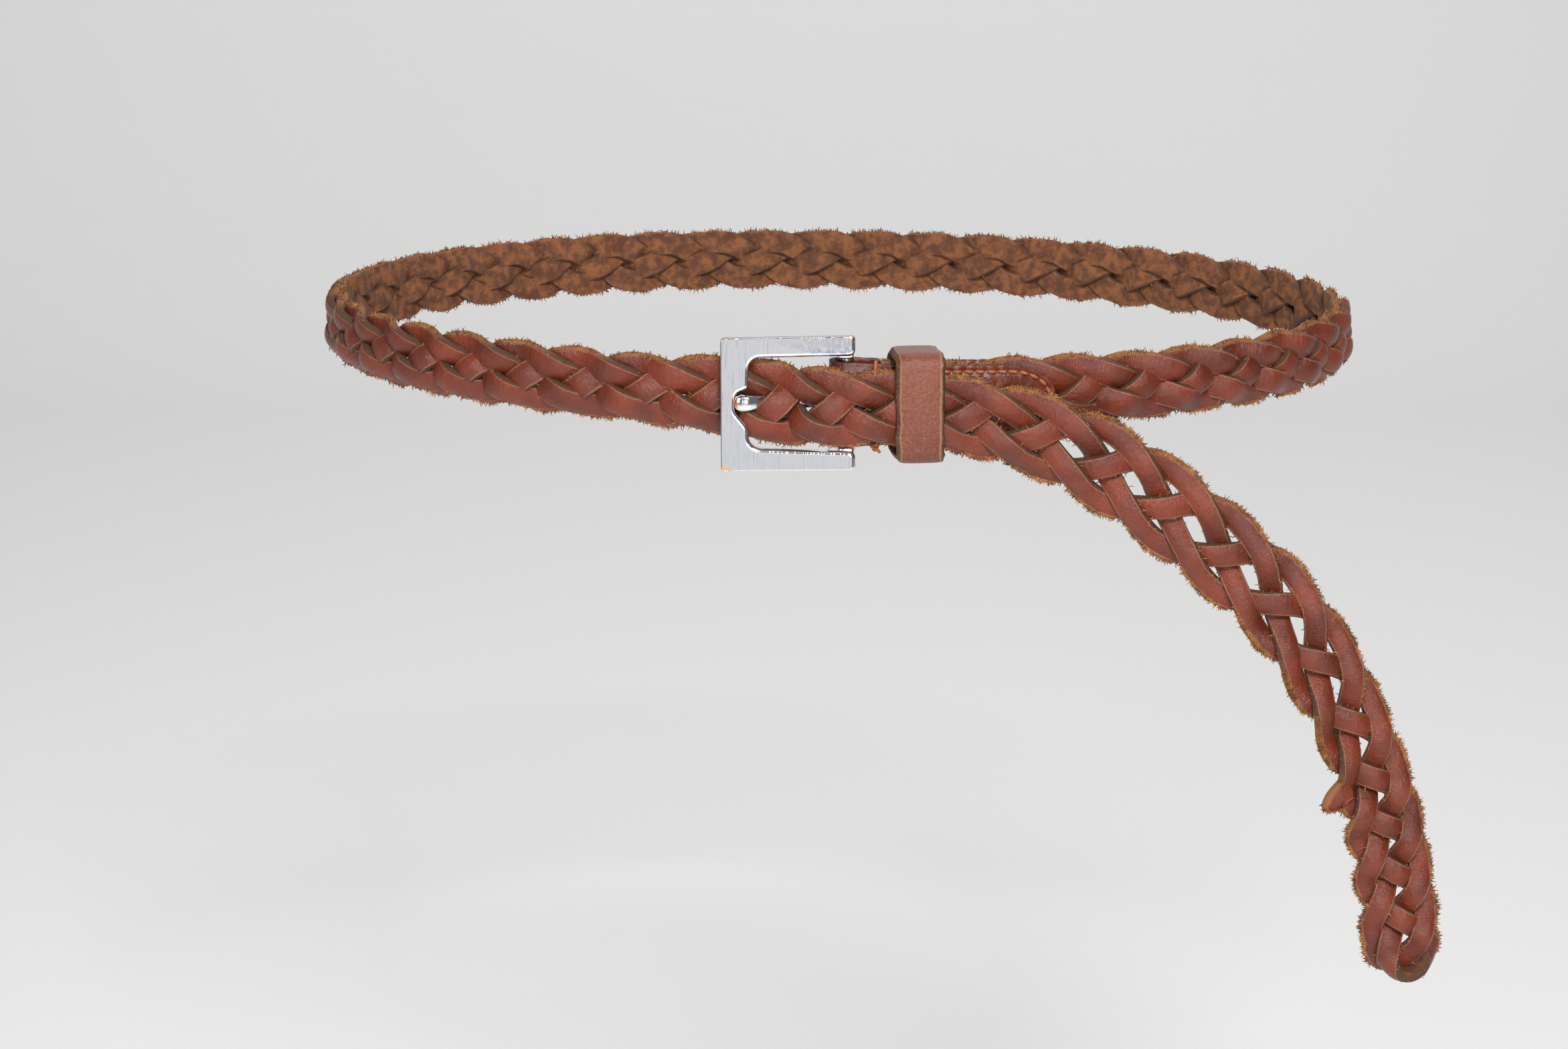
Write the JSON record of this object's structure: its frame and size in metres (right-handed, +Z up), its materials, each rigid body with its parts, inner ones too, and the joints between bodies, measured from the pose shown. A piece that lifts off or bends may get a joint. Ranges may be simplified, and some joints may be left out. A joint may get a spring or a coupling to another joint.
{
  "type": "braided belt",
  "caption": "Braided leather belt closed in a loop, with a square metal prong buckle, a leather tab and keeper, and a long free end that hangs down.",
  "frame": {"origin": "centre of the waist that the belt goes round, at the height of the strap's middle behind the buckle", "axes": "+X to the right seen from the front, -Y to the front where the buckle is, +Z up along the waist's axis"},
  "size_m": [0.3169, 0.2246, 0.1834],
  "materials": {
    "braid_leather": "smooth grain with worn edges, satin",
    "tab_leather": "smooth grain, satin",
    "keeper_leather": "smooth grain, worn, satin",
    "buckle_metal": "polished nickel plate, worn to copper at the corners"
  },
  "bodies": {
    "root": {"lace_a": "braid_leather", "lace_b": "braid_leather", "tab": "tab_leather", "keeper": "keeper_leather", "buckle_frame": "buckle_metal", "prong": "buckle_metal"}
  },
  "joints": []
}
